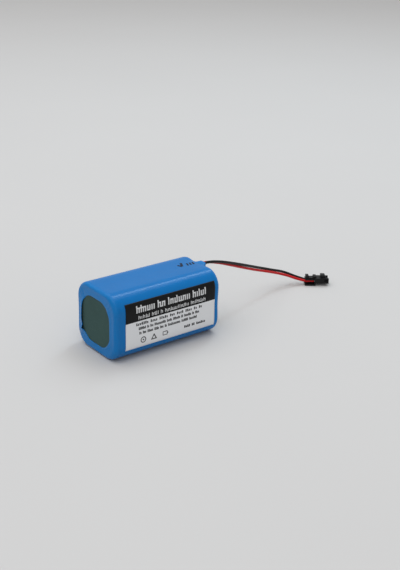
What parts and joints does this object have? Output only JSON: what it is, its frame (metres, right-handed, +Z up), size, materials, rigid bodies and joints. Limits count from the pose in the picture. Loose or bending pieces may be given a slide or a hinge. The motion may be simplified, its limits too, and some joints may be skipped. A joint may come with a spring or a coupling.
{
  "type": "battery pack",
  "caption": "Shrink-sleeved block of round cells with a protection board at one end, a front label, and a lead pair that runs to a latching two-way plug.",
  "frame": {"origin": "middle of the underside of the sleeve, between the two ends and between the front and the back", "axes": "+X along the cells towards the end that the leads leave, +Z up, and the front with the label faces -Y"},
  "size_m": [0.1755, 0.0381, 0.0379],
  "materials": {
    "blue_film": "satin heat-shrunk film",
    "insulating_board": "matt fibre paper",
    "label_stock": "printed film",
    "nickel_plated_steel": "deep drawn, nickel plated",
    "nickel_strip": "rolled strip",
    "cell_wrap": "thin shrunk film",
    "gasket": "moulded",
    "paper_washer": "matt",
    "electrode_roll": "coated foil, wound",
    "solder_mask": "glass laminate with a lacquer",
    "chip_resin": "moulded resin",
    "chip_ceramic": "fired",
    "solder": "solidified solder",
    "fibre_tape": "film with fibres along it",
    "adhesive": "cured silicone",
    "black_lead": "extruded insulation",
    "red_lead": "extruded insulation",
    "sense_lead": "extruded insulation",
    "plug_nylon": "moulded nylon",
    "contact_tin": "tinned"
  },
  "bodies": {
    "pack": {"adhesive_bead_back": "adhesive", "adhesive_bead_bottom": "adhesive", "adhesive_bead_front": "adhesive", "adhesive_bead_top": "adhesive", "cell_1_can": "nickel_plated_steel", "cell_1_cap": "nickel_plated_steel", "cell_1_electrode_roll": "electrode_roll", "cell_1_gasket": "gasket", "cell_1_washer": "paper_washer", "cell_1_wrap": "cell_wrap", "cell_2_can": "nickel_plated_steel", "cell_2_cap": "nickel_plated_steel", "cell_2_electrode_roll": "electrode_roll", "cell_2_gasket": "gasket", "cell_2_washer": "paper_washer", "cell_2_wrap": "cell_wrap", "cell_3_can": "nickel_plated_steel", "cell_3_cap": "nickel_plated_steel", "cell_3_electrode_roll": "electrode_roll", "cell_3_gasket": "gasket", "cell_3_washer": "paper_washer", "cell_3_wrap": "cell_wrap", "cell_4_can": "nickel_plated_steel", "cell_4_cap": "nickel_plated_steel", "cell_4_electrode_roll": "electrode_roll", "cell_4_gasket": "gasket", "cell_4_washer": "paper_washer", "cell_4_wrap": "cell_wrap", "contact_negative": "contact_tin", "contact_positive": "contact_tin", "fibre_tape": "fibre_tape", "filter_capacitor": "chip_ceramic", "lead_negative": "black_lead", "lead_positive": "red_lead", "left_end_insulator": "insulating_board", "link_cells_1_2": "nickel_strip", "link_cells_2_3": "nickel_strip", "link_cells_3_4": "nickel_strip", "mosfet_1": "chip_resin", "mosfet_2": "chip_resin", "mosfet_3": "chip_resin", "outer_sleeve": "blue_film", "plug_housing": "plug_nylon", "protection_board": "solder_mask", "protection_chip": "chip_resin", "rating_label": "label_stock", "right_inner_insulator": "insulating_board", "right_outer_insulator": "insulating_board", "sense_wire_lower": "sense_lead", "sense_wire_upper": "sense_lead", "shunt_resistor_1": "chip_resin", "shunt_resistor_2": "chip_resin", "solder_joint_negative": "solder", "solder_joint_positive": "solder", "tab_negative": "nickel_strip", "tab_positive": "nickel_strip"},
    "latch": {"plug_latch": "plug_nylon"}
  },
  "joints": [
    {"name": "latch_rock", "type": "hinge", "parent": "pack", "child": "latch", "pos_m": [0.13149, 0.00314, 0.00483], "axis": [-0.5878, -0.809, 0], "range_deg": [0, 4.5], "stiffness_Nm_per_rad": 0.05, "springref_deg": -2.86}
  ]
}
